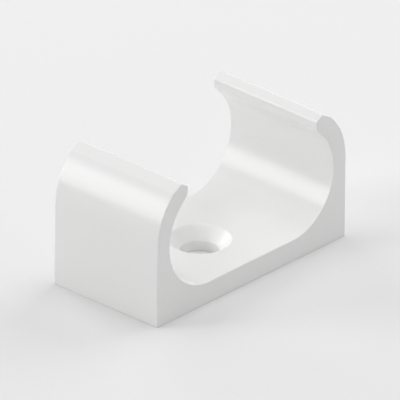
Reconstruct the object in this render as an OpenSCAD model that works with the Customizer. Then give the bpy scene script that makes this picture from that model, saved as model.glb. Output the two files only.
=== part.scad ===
// Spring clip that holds two 15 mm pipes side by side, moulded in one piece of white plastic.
// A screw through the countersunk hole fixes it to a wall or joist, and the pipes snap in.
// X runs across the clip, Y along the pipes and Z away from the wall. The origin is the middle
// of the flat back that lies on the wall.

/* [Pipes] */
// Outside diameter of each of the two pipes
pipe_d = 15; // [12:0.5:28]
// Clearance between a pipe and its cradle, on the radius
pipe_fit = 0.1; // [0:0.05:0.4]
// Gap left between the two pipes
pipe_gap = 0.9; // [0:0.1:8]

/* [Body] */
// Length of the clip along the pipes
clip_l = 17.9; // [12:0.1:60]
// Thickness of the base behind the pipes
base_t = 3.05; // [2.6:0.05:8]
// Thickness of an arm at the height of the pipe axes
arm_t = 2.25; // [1.6:0.05:4]

/* [Shoulders] */
// Height above the pipe axes at which the outer wall starts to curve inwards
shoulder_rise = 0.85; // [0:0.05:2]
// How much larger the shoulder's radius is than the cradle's
shoulder_extra = 1.5; // [1:0.05:2.2]
// Angle round the shoulder, from level, at which its curve ends in the bead's crease
crease_deg = 48; // [44:0.5:52]

/* [Beads] */
// Width of the bead's outer slope, from the crease to the top edge
slope_w = 1.65; // [1.2:0.05:2]
// Angle of the outer slope above level
slope_deg = 29; // [20:1:36]
// Angle at which the end face falls from the top edge to the nose
end_deg = 30; // [15:1:40]
// Angle round the cradle, from level, at which it runs out into the straight lead-in
lead_deg = 45; // [41:0.5:49]
// Distance that the lead-in brings the nose in past the end of the cradle
lead_run = 1.1; // [0.7:0.05:1.5]
// Radius that softens the crease
crease_r = 1.2; // [0.4:0.1:2]
// Radius of the top edge
top_r = 0.5; // [0.1:0.05:0.6]
// Radius between the end face and the nose
nose_r = 0.45; // [0.1:0.05:0.5]
// Radius between the nose and the lead-in
lead_r = 1.2; // [0.3:0.1:1.4]

/* [Screw hole] */
// Diameter of the screw hole
screw_d = 5; // [3.5:0.1:6]
// Diameter of the countersink where it meets the floor
sink_d = 8.2; // [7:0.1:8.8]
// Angle between the walls of the countersink
sink_deg = 90; // [80:1:110]
// Radius that rounds the countersink over onto the floor
sink_r = 0.6; // [0.1:0.05:0.8]

/* [Hidden] */
// Fineness of the curves in a preview
$fn = 96;
// How far a cut runs past the surface that it opens
over = 1;
// How far a rounding arc stands past the straight sides that it joins, so that they meet cleanly
hair = 0.0002;

// Cradle: the arc in which a pipe lies, centred on the pipe
cradle_r = pipe_d / 2 + pipe_fit;
cradle_c = [(pipe_d + pipe_gap) / 2, base_t + cradle_r];
// Shoulder: the arc that carries the outer wall over towards the bead
wall_x = cradle_c.x + cradle_r + arm_t;
shoulder_r = cradle_r + shoulder_extra;
shoulder_c = [wall_x - shoulder_r, cradle_c.y + shoulder_rise];

// Corners of the right-hand bead before they are rounded
crease = shoulder_c + polar(shoulder_r, crease_deg);
top_edge = crease + polar(slope_w, 180 - slope_deg);
lead_start = cradle_c + polar(cradle_r, lead_deg);
nose_low = lead_start + lead_run * [-1, 1 / tan(lead_deg)];
nose_high = [nose_low.x, top_edge.y - (top_edge.x - nose_low.x) * tan(end_deg)];

// Centres of the arcs that round those corners
crease_c = blend_c(crease, top_edge, shoulder_c, shoulder_r, crease_r);
top_c = round_c(crease, top_edge, nose_high, top_r);
nose_c = round_c(top_edge, nose_high, nose_low, nose_r);
lead_c = round_c(nose_high, nose_low, lead_start, lead_r);
shoulder_end = shoulder_c + shoulder_r * unit(crease_c - shoulder_c);

// Corners of the countersink, as radius and height
sink_rim = [sink_d / 2, base_t];
sink_foot = [screw_d / 2, base_t - (sink_d - screw_d) / 2 / tan(sink_deg / 2)];
floor_out = sink_rim + [1, 0];
rim_c = round_c(sink_foot, sink_rim, floor_out, sink_r);

function polar(r, a) = r * [cos(a), sin(a)];
function unit(v) = v / norm(v);

// Where the perpendicular from p meets the line through a and b
function foot(p, a, b) = a + unit(b - a) * ((p - a) * unit(b - a));

// Centre of the arc of radius r that rounds corner b between a and c
function round_c(a, b, c, r) =
    let (u = unit(a - b), v = unit(c - b), half = acos(u * v) / 2)
    b + unit(u + v) * r / sin(half);

// Centre of the arc of radius r that blends the line from a to b into the circle through a,
// which has its centre at c and the radius big_r
function blend_c(a, b, c, big_r, r) =
    let (
        u = unit(b - a),
        from = a + r * [-u.y, u.x],
        q = (from - c) * u,
        gap = norm(from - c) ^ 2 - (big_r - r) ^ 2
    )
    from - u * (q + sqrt(q * q - gap));

module both_sides() {
    children();
    mirror([1, 0]) children();
}

// Section of one shoulder, from the level of its centre up to the crease
module shoulder() {
    intersection() {
        translate(shoulder_c) circle(r = shoulder_r);
        polygon([
            shoulder_c,
            shoulder_c + [2 * shoulder_r, 0],
            shoulder_c + [2 * shoulder_r, 2 * shoulder_r],
            shoulder_c + 2 * (shoulder_end - shoulder_c)
        ]);
    }
}

// Section of one bead, with an arc at each corner and its root deep in the arm
module bead() {
    root = cradle_c + polar(cradle_r + arm_t / 2, lead_deg / 2);
    polygon([
        root,
        shoulder_end,
        crease_c,
        foot(crease_c, crease, top_edge),
        foot(top_c, crease, top_edge),
        top_c,
        foot(top_c, top_edge, nose_high),
        foot(nose_c, top_edge, nose_high),
        nose_c,
        foot(nose_c, nose_high, nose_low),
        foot(lead_c, nose_high, nose_low),
        lead_c,
        foot(lead_c, nose_low, lead_start),
        lead_start
    ]);
    translate(crease_c) circle(r = crease_r + hair);
    translate(top_c) circle(r = top_r + hair);
    translate(nose_c) circle(r = nose_r + hair);
    translate(lead_c) circle(r = lead_r + hair);
}

// Section of the space for the two pipes: a flat floor between two cradles, open at the mouth
module pipe_space() {
    translate([-cradle_c.x, base_t]) square([2 * cradle_c.x, cradle_r + shoulder_rise + over]);
    both_sides() {
        translate(cradle_c) circle(r = cradle_r);
        polygon([
            cradle_c,
            lead_start,
            [cradle_c.x, lead_start.y + (lead_start.x - cradle_c.x) / tan(lead_deg)]
        ]);
    }
}

// Section of the whole clip
module section() {
    difference() {
        union() {
            translate([-wall_x, 0]) square([2 * wall_x, shoulder_c.y]);
            both_sides() {
                shoulder();
                bead();
            }
        }
        pipe_space();
    }
}

// Screw hole with its countersink rounded over onto the floor
module screw_hole() {
    rotate_extrude() difference() {
        polygon([
            [0, -over],
            [screw_d / 2, -over],
            sink_foot,
            foot(rim_c, sink_foot, sink_rim),
            rim_c,
            [rim_c.x, base_t + over],
            [0, base_t + over]
        ]);
        translate(rim_c) circle(r = sink_r + hair);
    }
}

module clip_body() {
    color([0.93, 0.93, 0.92]) difference() {
        rotate([90, 0, 0]) linear_extrude(height = clip_l, center = true) section();
        screw_hole();
    }
}

clip_body();
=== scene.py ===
"""Looks for the spring clip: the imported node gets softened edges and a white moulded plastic."""

import math

import bpy
from mathutils import Matrix, Vector

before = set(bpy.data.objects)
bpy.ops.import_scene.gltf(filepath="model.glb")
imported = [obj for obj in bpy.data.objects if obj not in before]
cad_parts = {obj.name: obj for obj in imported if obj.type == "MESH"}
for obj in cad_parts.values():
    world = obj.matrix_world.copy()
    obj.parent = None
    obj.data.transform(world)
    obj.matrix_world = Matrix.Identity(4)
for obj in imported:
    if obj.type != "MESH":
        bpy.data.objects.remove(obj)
bpy.context.view_layer.update()

MM = 0.001
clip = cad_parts["clip_body"]

# Camera, as solved from the edges in the photograph: almost no perspective
VIEW_AZIMUTH = math.radians(47.84)
VIEW_ELEVATION = math.radians(27.29)
VIEW_ROLL = 0.01176
PIXEL = 0.128 * MM
FRAME_PIXELS = 400
AIM_RIGHT = 0.52 * PIXEL
AIM_UP = 59.8 * PIXEL
CAMERA_DISTANCE = 1.0
CLIP_NEAR, CLIP_FAR = 0.01, 10

# Softened edges
WELD_DISTANCE = 0.0001 * MM
FLAT_ANGLE = math.radians(0.2)
EDGE_WIDTH = 0.09 * MM
EDGE_ANGLE = math.radians(35)
EDGE_SEGMENTS = 3

# White moulded plastic
CLIP_WHITE = (0.87, 0.87, 0.865, 1)
CLIP_ROUGHNESS = 0.25
CLIP_IOR = 1.5

# Floor: half of its side, and its matt white
FLOOR_HALF = 3.0
FLOOR_WHITE = (0.8, 0.8, 0.8, 1)

# Soft panels round the clip: azimuth and elevation, half width and half height, all in degrees, and radiance
SOFTBOX_DISTANCE = 0.6
SOFTBOXES = {
    "key": (-131, 22, 10, 15, 4.6),
    "key_wide": (-150, 14, 9, 12, 2.4),
    "back": (174, 26, 20, 16, 2.2),
    "top": (0, 88, 22, 22, 1.45),
    "right": (86, 30, 20, 26, 2.0),
    "front": (18, 46, 34, 18, 0.7),
    "high": (-150, 52, 13, 10, 0.8),
}
WORLD_WHITE = (1, 1, 1, 1)
WORLD_STRENGTH = 0.25


def add_camera():
    """A camera without perspective, from the side and height of the photograph and with its slight roll."""
    flat = math.cos(VIEW_ELEVATION)
    ahead = Vector((math.sin(VIEW_AZIMUTH) * flat, math.cos(VIEW_AZIMUTH) * flat, -math.sin(VIEW_ELEVATION)))
    level = Vector((math.cos(VIEW_AZIMUTH), -math.sin(VIEW_AZIMUTH), 0))
    above = (-ahead).cross(level)
    c, s = math.cos(VIEW_ROLL), math.sin(VIEW_ROLL)
    right = level * c + above * s
    up = above * c - level * s
    data = bpy.data.cameras.new("camera")
    data.type = "ORTHO"
    data.ortho_scale = FRAME_PIXELS * PIXEL
    data.clip_start, data.clip_end = CLIP_NEAR, CLIP_FAR
    cam = bpy.data.objects.new("camera", data)
    turn = Matrix((right, up, -ahead)).transposed().to_4x4()
    place = right * AIM_RIGHT + up * AIM_UP - ahead * CAMERA_DISTANCE
    cam.matrix_world = Matrix.Translation(place) @ turn
    bpy.context.scene.collection.objects.link(cam)
    bpy.context.scene.camera = cam


def soften_edges(obj):
    """Round the sharp edges by modifiers alone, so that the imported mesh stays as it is."""
    weld = obj.modifiers.new("weld", "WELD")
    weld.merge_threshold = WELD_DISTANCE
    flat = obj.modifiers.new("flat", "DECIMATE")
    flat.decimate_type = "DISSOLVE"
    flat.angle_limit = FLAT_ANGLE
    edge = obj.modifiers.new("edge", "BEVEL")
    edge.limit_method = "ANGLE"
    edge.angle_limit = EDGE_ANGLE
    edge.width = EDGE_WIDTH
    edge.segments = EDGE_SEGMENTS
    edge.use_clamp_overlap = True
    normals = obj.modifiers.new("normals", "WEIGHTED_NORMAL")
    normals.keep_sharp = False


def plastic():
    mat = bpy.data.materials.new("clip_body_white_plastic")
    mat.use_nodes = True
    inputs = mat.node_tree.nodes["Principled BSDF"].inputs
    inputs["Base Color"].default_value = CLIP_WHITE
    inputs["Roughness"].default_value = CLIP_ROUGHNESS
    inputs["IOR"].default_value = CLIP_IOR
    return mat


def add_floor():
    h = FLOOR_HALF
    mesh = bpy.data.meshes.new("floor")
    mesh.from_pydata([(-h, -h, 0), (h, -h, 0), (h, h, 0), (-h, h, 0)], [], [(0, 1, 2, 3)])
    obj = bpy.data.objects.new("floor", mesh)
    bpy.context.scene.collection.objects.link(obj)
    mat = bpy.data.materials.new("floor")
    mat.use_nodes = True
    inputs = mat.node_tree.nodes["Principled BSDF"].inputs
    inputs["Base Color"].default_value = FLOOR_WHITE
    inputs["Roughness"].default_value = 1.0
    inputs["Specular IOR Level"].default_value = 0.0
    mesh.materials.append(mat)


def add_softbox(name, azimuth, elevation, half_width, half_height, radiance):
    """A soft panel that faces the clip."""
    a, e = math.radians(azimuth), math.radians(elevation)
    back = Vector((math.sin(a) * math.cos(e), -math.cos(a) * math.cos(e), math.sin(e)))
    data = bpy.data.lights.new(name, "AREA")
    data.shape = "RECTANGLE"
    data.size = 2 * SOFTBOX_DISTANCE * math.tan(math.radians(half_width))
    data.size_y = 2 * SOFTBOX_DISTANCE * math.tan(math.radians(half_height))
    data.energy = math.pi * data.size * data.size_y * radiance
    lamp = bpy.data.objects.new(name, data)
    lamp.location = back * SOFTBOX_DISTANCE
    lamp.rotation_mode = "QUATERNION"
    lamp.rotation_quaternion = back.to_track_quat("Z", "Y")
    bpy.context.scene.collection.objects.link(lamp)


def add_world():
    world = bpy.data.worlds.new("world")
    world.use_nodes = True
    inputs = world.node_tree.nodes["Background"].inputs
    inputs["Color"].default_value = WORLD_WHITE
    inputs["Strength"].default_value = WORLD_STRENGTH
    bpy.context.scene.world = world


add_camera()
soften_edges(clip)
clip.data.materials[0] = plastic()
add_floor()
for name, values in SOFTBOXES.items():
    add_softbox(name, *values)
add_world()
bpy.context.scene.view_settings.view_transform = "Standard"

bpy.context.view_layer.update()
